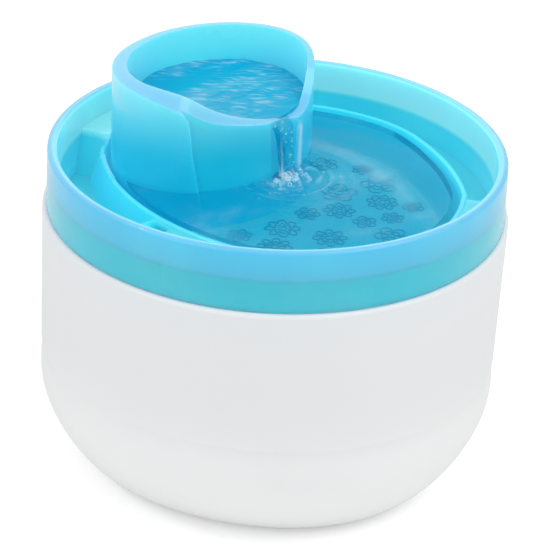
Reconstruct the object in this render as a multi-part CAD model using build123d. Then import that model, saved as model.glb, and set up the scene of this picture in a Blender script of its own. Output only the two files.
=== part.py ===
"""Pet water fountain: tub, drinking tray, oval fountain cup, pump and filter, one STEP file per piece.

Millimetres. +Z is up and the floor is Z = 0. The origin is under the centre of the tray's round rim.
The pet drinks from the front, -Y. The fountain cup stands at the back, +Y, and so does the cord notch.
Plan sizes that belong to the tub, tray and cup are shares of the rim's radius.
"""

import os
from math import cos, pi, radians, sin, tan

from build123d import *

# ---------------------------------------------------------------- overall
rim_height = 152.0  # top of the tray's rim above the floor
rim_radius = 100.0  # outside of the tray at the top of the rim
fit = 0.3  # gap between pieces that lift apart
snug = 0.05  # gap between pieces that are pressed or potted together

# ---------------------------------------------------------------- tub
shoulder_radius = 1.027 * rim_radius  # outside of the tub just under the tray's skirt
belly_radius = 1.030 * rim_radius  # widest radius, where the foot rounding starts
foot_draw_in = 0.28 * rim_radius  # how far the foot rounding draws in
foot_rise = 42.0  # how high the foot rounding reaches
foot_power = 1.45  # 2 is an ellipse, 1 a straight chamfer
foot_lobe = 0.028 * rim_radius  # the foot's plan swells by this much at its lobes
lobe_count = 3
foot_sections = 6
tub_wall = 2.4
tub_floor = 3.0
neck_wall = 1.8
neck_rise = 14.3  # height of the neck above the shoulder
shoulder_round = 1.6

# ---------------------------------------------------------------- rubber feet
foot_height = 1.0  # the pads hold the tub this far off the floor
pad_radius = 9.0
pad_thickness = 2.6
pad_circle = 0.58 * rim_radius  # the pads' centres lie on this radius, one under each lobe

# ---------------------------------------------------------------- drinking tray
skirt_drop = 26.7  # height of the blue band
skirt_flare = 0.93  # the band's radius grows by this much down to its lower edge
skirt_wall = 2.2
rim_web = 3.0  # thickness of the rim above the neck's channel
rim_round = 1.7
tray_wall = 2.0
wall_draft = 1.6  # the inside of the band draws in by this much down to the gutter
gutter_depth = 25.0  # gutter floor below the rim
trough_depth = 30.0  # the wider, deeper part of the gutter at the left
land_depth = 16.9  # flat land between lip and rim along the front
lip_depth = 16.5  # top of the bowl's lip
lip_wall = 2.4
lip_flank = 20.0  # slope of the lip's gutter side, degrees from upright
lip_edge = 0.8  # rounding along the lip's bead
bead_height = 1.4
bowl_depth = 35.0  # bowl floor
bowl_taper = 15.0  # slope of the bowl's wall, degrees from upright
bowl_round = 5.0
lip_radius = 0.812 * rim_radius
left_arc_radius = 1.106 * rim_radius  # flatter arc that cuts the bowl's left side
left_arc_x = 0.473 * rim_radius
right_arc_radius = 1.28 * rim_radius  # and a still flatter one on the front right
right_arc_angle = -28.0
right_arc_reach = 0.783 * rim_radius  # its middle lies this far out
lip_corner = 0.22 * rim_radius
right_blend = 0.6 * rim_radius  # eases the circle into the flat arc
shelf_depth = 12.0  # deck over the cord's way out, at the back
shelf_start, shelf_end = 66.0, 112.0  # degrees from +X, seen from above
ramp_end = 118.0  # foot of the shelf's sloping left end
trough_end = 174.0
dam_angle = -57.0  # the land's right end closes the gutter
stop_count, stop_width = 12, 1.6  # ribs in the channel that rest on the neck

# ---------------------------------------------------------------- fountain cup
cup_x, cup_y = 0.003 * rim_radius, 0.403 * rim_radius  # centre of the oval drum
cup_half_width, cup_half_depth = 0.499 * rim_radius, 0.389 * rim_radius
cup_draft = 1.0  # the drum is this much wider all round at its foot
cup_wall = 2.2
cup_rise = 27.2  # top of the cup above the tray's rim
edge_width = 4.0  # from the mouth out to the drum
# Angle round the cup, and how far the edge stands above the tray's rim at the mouth and at the drum.
edge_rises = [
    (90, 27.2, 27.2), (135, 27.2, 27.2), (170, 27.2, 26.9), (190, 26.8, 25.4), (204, 24.2, 21.8),
    (216, 18.6, 16.4), (234, 13.6, 12.2), (254, 10.6, 9.6), (276, 8.2, 7.4), (292, 7.7, 7.0),
    (304, 9.6, 8.8), (314, 16.0, 15.0), (324, 22.4, 21.6), (338, 25.6, 25.2), (355, 27.0, 26.8), (30, 27.2, 27.2),
]
basin_x, basin_y = 0.066 * rim_radius, 0.418 * rim_radius  # the basin sits off centre, to the right
basin_half_width, basin_half_depth = 0.388 * rim_radius, 0.354 * rim_radius
mouth_x, mouth_y = 0.024 * rim_radius, 0.402 * rim_radius
mouth_half_width, mouth_half_depth = 0.450 * rim_radius, 0.354 * rim_radius
waist_rise = 6.0  # the basin starts to open out into its mouth this far above the rim
basin_depth = 7.0  # basin floor below the tray's rim
basin_round = 5.0
panel_inset = 2.0  # the front panel stands back from the drum by this much
step_angle = -146.5  # slanting left edge of the front panel, at the height of the tray's rim
step_slant = 7.5
spout_left_angle = -84.0
spout_x = 0.055 * rim_radius
spout_width, spout_groove = 12.5, 1.8
spout_flare, spout_flare_depth = 26.0, 3.2  # the groove widens to this at its top
pedestal_rise = 3.0  # the pedestal's deck stands this far above the bowl's lip
stem_radius, stem_bore = 9.4, 7.0
stem_length = 20.0

# ---------------------------------------------------------------- pump
pump_x, pump_y = 0.0, 0.38 * rim_radius
pump_width, pump_height, pump_corner = 36.0, 36.0, 6.0
motor_length = 24.0
axis_above_base = 22.3  # shaft above the casing's underside
case_wall = 1.8
pump_stand = 4.0  # the suction cups hold the pump this far above the tub's floor
chamber_length, chamber_radius, chamber_wall = 14.0, 15.0, 1.8
nozzle_length = 12.0
riser_radius, riser_bore = 6.6, 4.8
seal_thickness = 1.3
blade_radius, blade_length, blade_thickness, blade_count = 11.0, 7.0, 1.4, 6
hub_radius = 4.2
magnet_radius, magnet_length = 6.2, 17.0
shaft_radius = 1.2
running = 0.05  # radial clearance of what turns on the shaft or on a boss
bush_radius, bush_length = 2.8, 3.0
well_gap, well_wall = 0.6, 1.0
core_depth, core_leg = 10.0, 4.5
coil_build = 3.0
cover_radius, cover_thickness = 17.0, 2.0
boss_radius = 4.4
dial_radius, dial_thickness = 12.6, 1.8
slot_inner_radius, slot_outer_radius, slot_count = 6.0, 11.0, 3
cage_length, cage_wall = 14.0, 1.6
sponge_length = 7.5
gland_radius, gland_bore, gland_length = 4.2, 2.6, 5.0
sucker_radius, sucker_neck = 6.5, 2.2

# ---------------------------------------------------------------- filter
filter_angle = 152.0
filter_radius = 0.82 * rim_radius  # its centre lies on this radius
filter_width, filter_length, filter_height = 20.0, 40.0, 38.0
filter_corner = 5.0
filter_wall = 1.6
collar_drop = 6.0
foam_height = 10.0
clip_thickness = 1.8

# ---------------------------------------------------------------- drains and cord notch
drain_length, drain_width, drain_count, drain_pitch = 12.0, 4.4, 5, 7.2
land_drain_length, land_drain_width = 10.0, 4.4
land_drain_angle = 178.5
land_drain_out = 7.0  # from the bowl's lip
notch_width, notch_height = 8.0, 9.0
flange = 1.6  # the grommet's flanges stand out this far round the notch

# ---------------------------------------------------------------- levels and radii that follow
tub_bottom = foot_height
tub_inside = tub_bottom + tub_floor
skirt_bottom = rim_height - skirt_drop
shoulder_top = skirt_bottom - fit
neck_top = shoulder_top + neck_rise
slot_outer = rim_radius + skirt_flare - skirt_wall
neck_radius = slot_outer - fit
neck_inside = neck_radius - neck_wall
slot_inner = neck_inside - fit
tray_inner = slot_inner - tray_wall
gutter_top = rim_height - gutter_depth
trough_top = rim_height - trough_depth
land_top = rim_height - land_depth
shelf_top = rim_height - shelf_depth
bowl_top = rim_height - bowl_depth
lip_top = rim_height - lip_depth
bead_bottom = lip_top - bead_height
cup_top = rim_height + cup_rise
basin_top = rim_height - basin_depth
basin_under = basin_top - cup_wall
waist_top = rim_height + waist_rise
drum_wall = cup_wall + panel_inset
pedestal_top = lip_top + pedestal_rise
pedestal_inset = drum_wall + fit + cup_draft * (pedestal_top - bowl_top) / (cup_top - bowl_top)
axis_z = tub_inside + pump_stand + axis_above_base
nozzle_top = chamber_radius + nozzle_length
socket_radius = riser_radius + snug
riser_bottom = axis_z + chamber_radius
riser_top = basin_under - 6.0
chamber_half = chamber_length / 2
cover_front = chamber_half + cover_thickness
motor_back = -chamber_half - motor_length
well_radius = magnet_radius + well_gap
magnet_front = -chamber_half - well_gap
magnet_back = magnet_front - magnet_length
well_back = magnet_back - well_gap - bush_length
coil_axis = -(well_radius + well_wall + coil_build + core_leg / 2 + 2 * snug)  # below the shaft
core_middle = -chamber_half - case_wall - (coil_build + core_depth / 2) - 4 * snug
shelf_middle = (shelf_start + shelf_end) / 2
notch_bottom = shoulder_top + 1.0
filter_top = trough_top - tray_wall

UP = (Align.CENTER, Align.CENTER, Align.MIN)
OUT = (Align.MIN, Align.CENTER, Align.MIN)
# The pump is drawn lying on its shaft: +Z towards the intake, +Y up. This stands it in the tub.
pump_place = Pos(pump_x, pump_y, axis_z) * Rot(X=90)
filter_place = Rot(Z=filter_angle) * Pos(filter_radius, 0, 0)


# ---------------------------------------------------------------- helpers
def turned(*points):
    """Solid of revolution about Z from (radius, height) points."""
    return revolve(Plane.XZ * make_face(Polyline(*points, close=True)), Axis.Z)


def disc(radius, bottom, top):
    """Upright cylinder between two heights."""
    return Pos(0, 0, bottom) * Cylinder(radius, top - bottom, align=UP)


def tube(outer, inner, bottom, top):
    """Upright tube between two heights."""
    return disc(outer, bottom, top) - disc(inner, bottom, top)


def prism(plan, bottom, top):
    """Plan extruded between two heights."""
    return extrude(Pos(0, 0, bottom) * plan, top - bottom)


def oval(x, y, half_width, half_depth):
    """Oval plan."""
    return Pos(x, y) * Ellipse(half_width, half_depth)


def sector(start, end):
    """Pie slice of a plan between two angles in degrees, reaching past the rim."""
    steps = 4
    angles = [radians(start + (end - start) * i / steps) for i in range(steps + 1)]
    corners = [(0, 0)] + [(2 * rim_radius * cos(a), 2 * rim_radius * sin(a)) for a in angles]
    return make_face(Polyline(*corners, close=True))


def round_ends(shape, radius, *groups):
    """Fillet the edges of the named height groups, lowest 0 and highest -1."""
    edges = shape.edges().group_by(Axis.Z)
    return fillet([edge for group in groups for edge in edges[group]], radius)


# ---------------------------------------------------------------- tub
def plan_at(radius, lobe):
    """Closed plan of the tub: a circle that swells softly at its lobes, one of them at the front."""
    count = 6 * lobe_count
    points = []
    for i in range(count):
        angle = 2 * pi * i / count
        r = radius + lobe * cos(lobe_count * (angle + pi / 2))
        points.append((r * cos(angle), r * sin(angle)))
    return make_face(Spline(*points, periodic=True))


def section_at(z, radius_change):
    """Plan of the tub at height z. The lobes grow steadily from the shoulder to the foot."""
    share = (shoulder_top - z) / (shoulder_top - tub_bottom)
    radius = shoulder_radius + (belly_radius - shoulder_radius) * min(2 * share, 1.0)
    return Pos(0, 0, z) * plan_at(radius + radius_change, foot_lobe * share)


def tub_body(inset, bottom, top, crown):
    """The tub's body drawn in by inset, with its top edge rounded by crown."""
    rounding_top = tub_bottom + foot_rise
    joint = rounding_top + 0.4 * foot_rise
    foot = [section_at(z, -inset) for z in (joint, (joint + rounding_top) / 2, rounding_top)]
    for i in range(1, foot_sections + 1):
        angle = i / foot_sections * pi / 2
        drawn = foot_draw_in * (1 - max(cos(angle), 0.0) ** (2 / foot_power))
        z = rounding_top - (rounding_top - bottom) * sin(angle) ** (2 / foot_power)
        foot.append(section_at(z, -inset - drawn))
    body = loft(foot) + loft([section_at(joint, -inset), section_at(top - crown, -inset)], ruled=True)
    if crown > 0:
        angles = [radians(a) for a in (0, 30, 60, 90)]
        body += loft([section_at(top - crown * (1 - sin(a)), crown * (cos(a) - 1) - inset) for a in angles])
    return body


def pad_places():
    """Centres of the foot pads, one under each lobe."""
    angles = [radians(-90 + 360 * i / lobe_count) for i in range(lobe_count)]
    return [Pos(pad_circle * cos(a), pad_circle * sin(a)) for a in angles]


def reservoir_tub():
    """White tub: lobed foot, round shoulder and a neck that stands inside the tray's skirt."""
    body = tub_body(0.0, tub_bottom, shoulder_top, shoulder_round)
    body -= tub_body(tub_wall, tub_inside, shoulder_top - tub_wall, 0.0)
    tub = body + tube(neck_radius, neck_inside, shoulder_top - tub_wall, neck_top)
    tub -= disc(neck_inside, shoulder_top - 2 * tub_wall, neck_top)
    for place in pad_places():
        tub -= place * disc(pad_radius + snug, tub_bottom, pad_thickness)
    return tub - notch_block(notch_width, notch_bottom, neck_top, neck_inside - 1, neck_radius + 1)


def notch_block(width, bottom, top, inner, outer):
    """Radial block at the middle of the shelf, where the pump's cord leaves."""
    block = Box(outer - inner, width, top - bottom, align=OUT)
    return Rot(Z=shelf_middle) * Pos(inner, 0, bottom) * block


def tub_feet():
    """Rubber pads, one under each lobe of the foot."""
    pad = round_ends(disc(pad_radius, 0, pad_thickness), 0.5, 0)
    return Compound([place * pad for place in pad_places()])


def cord_grommet():
    """Rubber gland in the neck's notch, with a bore for the pump's cord and a slit to open it."""
    top = notch_bottom + notch_height
    inner, outer = neck_inside - 1.4, neck_radius + 1.4
    plug = notch_block(notch_width - 2 * snug, notch_bottom + snug, top, inner, outer)
    wide = notch_width + 2 * flange
    plug += notch_block(wide, shoulder_top + snug, top, inner, neck_inside - fit)
    plug += notch_block(wide, shoulder_top + snug, top, neck_radius + snug, outer)
    middle = notch_bottom + notch_height / 2
    bore = Rot(Z=shelf_middle) * Pos(inner - 1, 0, middle) * Rot(Y=90) * Cylinder(gland_bore, 10, align=UP)
    return plug - bore - notch_block(0.4, middle, top + 1, inner - 1, outer + 1)


# ---------------------------------------------------------------- tray
def crossing(radius, x, y, other):
    """Where a circle round the rim's axis meets another circle: the two points, by rising angle."""
    away = (x * x + y * y) ** 0.5
    along = (radius**2 - other**2 + away**2) / (2 * away)
    side = (radius**2 - along**2) ** 0.5
    ux, uy = x / away, y / away
    return [(along * ux - turn * side * uy, along * uy + turn * side * ux) for turn in (-1, 1)]


def bowl_plan():
    """Plan inside the bowl's lip: a circle with a flatter arc on the left and a flatter one on the front right."""
    middle = radians(right_arc_angle)
    shift = right_arc_reach - right_arc_radius
    right_x, right_y = shift * cos(middle), shift * sin(middle)
    back, front = crossing(lip_radius, left_arc_x, 0, left_arc_radius)[::-1]
    right_end, right_start = crossing(lip_radius, right_x, right_y, right_arc_radius)
    outline = ThreePointArc(back, (left_arc_x - left_arc_radius, 0), front)
    outline += RadiusArc(front, right_start, -lip_radius)
    flat_middle = (right_arc_reach * cos(middle), right_arc_reach * sin(middle))
    outline += ThreePointArc(right_start, flat_middle, right_end)
    outline += RadiusArc(right_end, back, -lip_radius)
    plan = make_face(outline)
    plan = fillet(plan.vertices().sort_by(Axis.X)[-1], right_blend)
    return fillet(plan.vertices().sort_by(Axis.X)[:2], lip_corner)


def cup_bay(gap):
    """Oval plan round the cup's foot."""
    return oval(cup_x, cup_y, cup_half_width + cup_draft + gap, cup_half_depth + cup_draft + gap)


def bowl_space():
    """Water space of the bowl, with an upright bay at the back for the cup."""
    bowl = extrude(Pos(0, 0, bead_bottom) * bowl_plan(), -(bead_bottom - bowl_top), taper=bowl_taper)
    bowl = round_ends(bowl, bowl_round, 0) + prism(bowl_plan(), bead_bottom, rim_height)
    return bowl + prism(cup_bay(fit), bowl_top, rim_height)


def lip_ridge(grow, top, bottom):
    """Block under the lip whose flank slopes outwards, between two heights. Drawn in by a negative grow."""
    lean = (bead_bottom - top) * tan(radians(lip_flank))
    plan = offset(bowl_plan(), lip_wall + grow + lean)
    return extrude(Pos(0, 0, top) * plan, bottom - top, taper=-lip_flank)


def lip_bead():
    """Rounded bead along the top of the lip."""
    ring = prism(offset(bowl_plan(), lip_wall) - bowl_plan(), bead_bottom, lip_top)
    return round_ends(ring, lip_edge, -1)


def bowl_skin():
    """Outside of the bowl's wall and floor."""
    plan = offset(bowl_plan(), lip_wall)
    skin = extrude(Pos(0, 0, bead_bottom) * plan, -(bead_bottom - bowl_top + tray_wall), taper=bowl_taper)
    return round_ends(skin, bowl_round, 0) + prism(cup_bay(fit + lip_wall), bowl_top - tray_wall, lip_top)


def tray_rim():
    """Round rim with its skirt outside, its wall inside and the channel for the neck between them."""
    ring = turned(
        (tray_inner, gutter_top - tray_wall),
        (tray_inner + wall_draft, rim_height),
        (rim_radius, rim_height),
        (rim_radius + skirt_flare, skirt_bottom),
        (slot_outer, skirt_bottom),
        (slot_outer, neck_top),
        (slot_outer - 0.5, rim_height - rim_web),
        (slot_inner + 0.7, rim_height - rim_web),
        (slot_inner, neck_top),
        (slot_inner, gutter_top - tray_wall),
    )
    ring = round_ends(ring, rim_round, -1)
    stop = Pos(slot_inner - 0.5, 0, neck_top) * Box(
        slot_outer - slot_inner + 1, stop_width, rim_height - rim_web - neck_top + 0.5, align=OUT)
    for i in range(stop_count):
        ring += Rot(Z=360 * (i + 0.5) / stop_count) * stop
    return ring


def deck(start, end, level):
    """Floor plate between the lip's ridge and the rim's wall, with the ridge above it, over a range of angles."""
    plan = sector(start, end) & Circle(slot_inner)
    plate = prism(plan - Circle(lip_radius / 2), level - tray_wall, level)
    ridge = lip_ridge(0.0, bead_bottom, level - tray_wall)
    return plate + (ridge & prism(sector(start, end), level - tray_wall, lip_top))


def end_wall(angle, low, high):
    """Radial wall between two floor levels."""
    inner = lip_radius / 2
    wall = Box(slot_inner - 0.2 - inner, tray_wall, high - low + tray_wall, align=OUT)
    return Rot(Z=angle) * Pos(inner, 0, low - tray_wall) * wall


def trough_wall():
    """Lower part of the rim's wall, along the trough."""
    plan = (sector(ramp_end, trough_end) & Circle(slot_inner)) - Circle(tray_inner)
    return prism(plan, trough_top - tray_wall, gutter_top)


def ramp():
    """Sloping left end of the shelf, down into the trough."""
    inner = lip_radius / 2
    run = radians(ramp_end - shelf_end) * rim_radius
    thick = 1.5 * tray_wall
    side = make_face(Polyline(
        (0, shelf_top), (0, shelf_top - thick), (run - 1, trough_top - tray_wall),
        (run + 1, trough_top - tray_wall), (run + 1, trough_top), close=True))
    slab = extrude(Plane.YZ * side, slot_inner - 0.2 - inner)
    return Rot(Z=shelf_end) * Pos(inner, -1, 0) * slab


def pedestal():
    """Hollow oval pedestal on the bowl's floor that the cup slips over."""
    block = prism(cup_bay(-pedestal_inset), bowl_top - tray_wall, pedestal_top)
    return round_ends(block, 2.0, -1)


def pedestal_hollow():
    """Space inside the pedestal, open to the tub, with the hole for the cup's stem."""
    hollow = prism(cup_bay(-pedestal_inset - tray_wall), bowl_top - 2 * tray_wall, pedestal_top - tray_wall)
    return hollow + Pos(pump_x, pump_y) * disc(stem_radius + 2 * fit, bowl_top, rim_height)


def drain_holes():
    """Slots in the trough above the filter, a slot in the land and one in the gutter behind the cup."""
    slot = extrude(SlotOverall(drain_length, drain_width), 2 * tray_wall, both=True)
    holes = []
    for i in range(drain_count):
        shift = (i - (drain_count - 1) / 2) * drain_pitch
        holes.append(filter_place * Pos(0, shift, trough_top) * slot)
    land_slot = extrude(SlotOverall(land_drain_length, land_drain_width), 2 * tray_wall, both=True)
    land_place = Rot(Z=land_drain_angle) * Pos(left_arc_radius - left_arc_x + land_drain_out, 0, land_top)
    holes.append(land_place * Rot(Z=90) * land_slot)
    gutter_middle = (tray_inner + lip_radius + lip_wall) / 2
    holes.append(Rot(Z=shelf_start - 9) * Pos(gutter_middle, 0, gutter_top) * Rot(Z=90) * slot)
    return holes


def filter_block(grow, bottom, top):
    """Block with the filter's rounded outline, grown outwards."""
    outline = RectangleRounded(filter_width + 2 * grow, filter_length + 2 * grow, filter_corner + grow)
    return filter_place * extrude(Pos(0, 0, bottom) * outline, top - bottom)


def filter_collar():
    """Collar under the trough that the filter basket clips into."""
    bottom = filter_top - collar_drop
    top = filter_top + 0.5
    return (filter_block(fit + filter_wall, bottom, top) - filter_block(fit, bottom, top)) & disc(
        slot_inner, bottom, top)


def drinking_tray():
    """Blue tray: rim, gutter, trough, land, bowl with its lip, cup pedestal and drains."""
    tray = tray_rim()
    tray += deck(dam_angle, shelf_start, gutter_top)
    tray += deck(shelf_start, shelf_end, shelf_top)
    tray += deck(ramp_end - 1, trough_end, trough_top)
    tray += deck(trough_end, 360 + dam_angle, land_top)
    tray += end_wall(dam_angle, gutter_top, land_top)
    tray += end_wall(shelf_start, gutter_top, shelf_top)
    tray += end_wall(trough_end, trough_top, land_top)
    tray += ramp() + trough_wall()
    tray -= lip_ridge(-tray_wall, bead_bottom - tray_wall, trough_top - 2 * tray_wall)
    tray += bowl_skin()
    tray -= bowl_space()
    tray += lip_bead() - prism(cup_bay(fit), bowl_top, rim_height)
    tray += pedestal()
    tray -= pedestal_hollow()
    tray += filter_collar()
    for hole in drain_holes():
        tray -= hole
    notch_top = notch_bottom + notch_height + fit
    width = notch_width + 2 * flange + 2 * fit
    return tray - notch_block(width, bowl_top, notch_top, tray_inner - 1, rim_radius + 5)


# ---------------------------------------------------------------- cup
def drum(inset):
    """The cup's outer form, a little wider at its foot, drawn in by inset."""
    top = oval(cup_x, cup_y, cup_half_width - inset, cup_half_depth - inset)
    return loft([Pos(0, 0, bowl_top) * cup_bay(-inset), Pos(0, 0, cup_top) * top])


def edge_path(out, drop):
    """Closed curve over the cup's edge, out from the mouth by a share of the edge's width."""
    points = []
    for angle, inner, outer in edge_rises:
        a = radians(angle)
        across = mouth_half_width + out * edge_width
        deep = mouth_half_depth + out * edge_width
        r = across * deep / ((deep * cos(a)) ** 2 + (across * sin(a)) ** 2) ** 0.5
        rise = inner + out * (outer - inner) - drop
        points.append((mouth_x + r * cos(a), mouth_y + r * sin(a), rim_height + rise))
    return Spline(*points, periodic=True)


def above_edge(drop):
    """Space above the cup's edge, which swoops down to the spout and slopes outwards. Lowered by drop."""
    slope = Face.make_surface_from_curves(edge_path(-1.0, drop).edge(), edge_path(3.0, drop).edge())
    return extrude(slope, 2 * cup_rise, dir=(0, 0, 1))


def basin_space(grow, bottom):
    """The cup's water space grown outwards: an upright oval, and the mouth that it opens out into."""
    lower = oval(basin_x, basin_y, basin_half_width + grow, basin_half_depth + grow)
    upper = oval(mouth_x, mouth_y, mouth_half_width + grow, mouth_half_depth + grow)
    return prism(lower, bottom, waist_top), loft([Pos(0, 0, waist_top) * lower, Pos(0, 0, cup_top + 1) * upper])


def front_panel():
    """Thin slice that sets the front panel back, from its slanting step, rounded at the top, to the spout."""
    shell = drum(-5.0) - drum(panel_inset)
    reach = 1.6 * cup_half_width
    sections = []
    for rise, turn in ((bowl_top - rim_height, step_slant), (0.0, 0.0), (12.0, -1.4), (16.0, -2.6),
                       (19.5, -5.5), (22.5, -9.0)):
        corners = [(cup_x, cup_y)]
        angles = (step_angle + turn, spout_left_angle)
        corners += [(cup_x + reach * cos(radians(a)), cup_y + reach * sin(radians(a))) for a in angles]
        sections.append(Pos(0, 0, rim_height + rise) * make_face(Polyline(*corners, close=True)))
    return shell & loft(sections, ruled=True)


def spout_groove_space():
    """Groove down the front of the cup, flaring towards its top."""
    front = cup_y - cup_half_depth
    circles = []
    for z, width, depth in ((bowl_top, spout_width, spout_groove), (waist_top + 6, spout_flare, spout_flare_depth)):
        radius = ((width / 2) ** 2 + depth**2) / (2 * depth)
        circles.append(Pos(spout_x, front + depth - radius, z) * Circle(radius))
    return loft(circles)


def fountain_cup():
    """Blue cup: an oval drum with the basin set off centre in it, joined along a rolled edge."""
    core, mouth = basin_space(0.0, basin_top)
    core = round_ends(core, basin_round, 0)
    cup = drum(0.0) - core - mouth - above_edge(0.0)

    # The drum is open from below, round the basin.
    void = drum(drum_wall) - above_edge(1.6 * cup_wall)
    skin_core, skin_mouth = basin_space(cup_wall, basin_under)
    cup -= void - skin_core - skin_mouth
    cup -= front_panel()
    cup -= spout_groove_space()

    stem = tube(stem_radius, stem_bore, basin_top - stem_length, basin_under + 0.5)
    cup += Pos(pump_x, pump_y) * stem
    return cup - Pos(pump_x, pump_y) * disc(riser_bore, basin_under - 1, basin_top + 1)


# ---------------------------------------------------------------- riser
def riser_tube():
    """Clear tube from the pump's nozzle up into the cup's stem."""
    return Pos(pump_x, pump_y) * tube(riser_radius, riser_bore, riser_bottom, riser_top)


def riser_seal():
    """Silicone ring stretched round the top of the riser."""
    middle = riser_top - 5
    ring = tube(stem_bore - snug, riser_radius + snug, middle, middle + seal_thickness)
    return Pos(pump_x, pump_y) * ring


# ---------------------------------------------------------------- pump, drawn lying on its shaft
def casing_block(inset, back, front):
    """Block with the motor casing's rounded outline."""
    middle = pump_height / 2 - axis_above_base
    outline = RectangleRounded(pump_width - 2 * inset, pump_height - 2 * inset, pump_corner - inset)
    return prism(Pos(0, middle) * outline, back, front)


def sucker_places():
    """Centres of the suction cups under the casing, each turned to point down."""
    x = pump_width / 2 - sucker_radius
    depths = (-chamber_half - sucker_radius, motor_back + sucker_radius)
    return [Pos(side * x, -axis_above_base, depth) * Rot(X=90) for side in (-1, 1) for depth in depths]


def gland_place():
    """Centre of the cord's gland on the back of the casing."""
    return Pos(pump_width / 2 - 9, pump_height - axis_above_base - 9, motor_back)


def pump_housing():
    """Motor casing, open at the back for the resin, with the rotor's well and sockets for the cups."""
    front = -chamber_half
    case = casing_block(0, motor_back, front) - casing_block(case_wall, motor_back, front - case_wall)
    case += disc(well_radius + well_wall, well_back - well_wall, front)
    case -= disc(well_radius, magnet_back - well_gap, front)
    case -= disc(bush_radius + snug, well_back, front)
    for place in sucker_places():
        case -= place * disc(sucker_neck, -case_wall, 0)
    return pump_place * case


def motor_potting():
    """Resin that fills the casing round the stator and the well, with the cord's gland cast into it."""
    fill = casing_block(case_wall + snug, motor_back + 0.6, -chamber_half - case_wall - snug)
    fill += gland_place() * tube(gland_radius, gland_bore, -gland_length, 1)
    fill -= disc(well_radius + well_wall + snug, well_back - well_wall - snug, 0)
    fill -= coil_block(-snug, coil_build + snug) + core_shape(snug)
    return pump_place * fill


def core_shape(grow):
    """U-shaped core: a bar through the coil and two legs that reach up beside the rotor's well."""
    depth = core_depth + 2 * grow
    leg_outer = pump_width / 2 - case_wall - 1.5
    leg_width = core_leg + 2.5
    leg_top = well_radius + well_wall - 1.0
    core = Pos(0, coil_axis, core_middle) * Box(2 * leg_outer + 2 * grow, core_leg + 2 * grow, depth)
    height = leg_top - coil_axis + core_leg / 2
    leg = Box(leg_width + 2 * grow, height + 2 * grow, depth)
    for side in (-1, 1):
        core += Pos(side * (leg_outer - leg_width / 2), leg_top - height / 2, core_middle) * leg
    return core - disc(well_radius + well_wall + 2 * snug, motor_back, 0)


def coil_block(inset, build):
    """Block round the core's bar that the winding fills."""
    length = 2 * (pump_width / 2 - case_wall - 1.5 - core_leg - 2.5) - 2 * snug
    block = Box(length - 2 * inset, core_leg + 2 * build, core_depth + 2 * build)
    return Pos(0, coil_axis, core_middle) * block


def stator_core():
    """Laminated iron core."""
    return pump_place * core_shape(0.0)


def stator_coil():
    """Copper winding on the core's bar."""
    winding = coil_block(snug, coil_build)
    winding = fillet(winding.edges().filter_by(Axis.X), 1.6)
    bar = Box(pump_width, core_leg + 2 * snug, core_depth + 2 * snug)
    return pump_place * (winding - Pos(0, coil_axis, core_middle) * bar)


def impeller_rotor():
    """Straight-bladed impeller moulded onto its magnet."""
    low = -blade_length / 2
    rotor = disc(magnet_radius, magnet_back, magnet_front) + disc(hub_radius, magnet_front, blade_length / 2)
    blade = Pos(0, 0, low) * Box(blade_radius, blade_thickness, blade_length, align=OUT)
    for i in range(blade_count):
        rotor += Rot(Z=360 * i / blade_count) * blade
    rotor += disc(blade_radius - 2, low - 1.2, low)
    return pump_place * (rotor - disc(shaft_radius + running, motor_back, chamber_half))


def impeller_shaft():
    """Ceramic shaft, held at both ends."""
    return pump_place * disc(shaft_radius, well_back + 0.4, cover_front)


def bush_at(bottom, top):
    """Rubber bush round one end of the shaft."""
    return pump_place * tube(bush_radius, shaft_radius + snug, bottom, top)


def shaft_bush_rear():
    """Rubber bush at the bottom of the rotor's well."""
    return bush_at(well_back + snug, well_back + bush_length)


def shaft_bush_front():
    """Rubber bush in the cover's boss."""
    return bush_at(chamber_half - 1.0, cover_front)


def pump_chamber():
    """Round chamber about the impeller with the upright nozzle that takes the riser."""
    stand = Rot(X=-90)
    chamber = disc(chamber_radius, -chamber_half, chamber_half)
    chamber += stand * disc(riser_radius + chamber_wall, 0, nozzle_top)
    chamber -= disc(chamber_radius - chamber_wall, -chamber_half, chamber_half)
    chamber -= stand * disc(riser_bore, 0, nozzle_top)
    chamber -= stand * disc(socket_radius, chamber_radius - snug, nozzle_top)
    chamber -= disc(cover_radius + fit, chamber_half, 2 * chamber_length)
    return pump_place * (chamber - casing_block(-fit, motor_back, -chamber_half))


def intake_slots(bottom, top):
    """Ring of curved slots that let the water in."""
    pitch = 360 / slot_count
    ring = Circle(slot_outer_radius) - Circle(slot_inner_radius)
    slots = [prism(ring & sector(pitch * i, pitch * (i + 0.5)), bottom, top) for i in range(slot_count)]
    return Part() + slots


def pump_cover():
    """Cover over the chamber with intake slots and the boss that the dial turns on."""
    cover = disc(cover_radius, chamber_half, cover_front)
    cover += disc(boss_radius, cover_front, cover_front + dial_thickness + 1.0)
    cover += disc(bush_radius + 1.2, chamber_half - 1, cover_front)
    cover -= disc(bush_radius + snug, chamber_half - 2, cover_front + snug)
    return pump_place * (cover - intake_slots(chamber_half - 2, cover_front + 1))


def flow_dial():
    """Turning disc with matching slots that throttles the intake."""
    low = cover_front + 2 * running
    dial = tube(dial_radius, boss_radius + running, low, low + dial_thickness)
    dial -= intake_slots(low - 1, low + dial_thickness + 1)
    grip = Pos(0, dial_radius - 1.4, low) * Box(2.4, 2.4, dial_thickness + 1.6, align=UP)
    return pump_place * (dial + grip)


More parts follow.
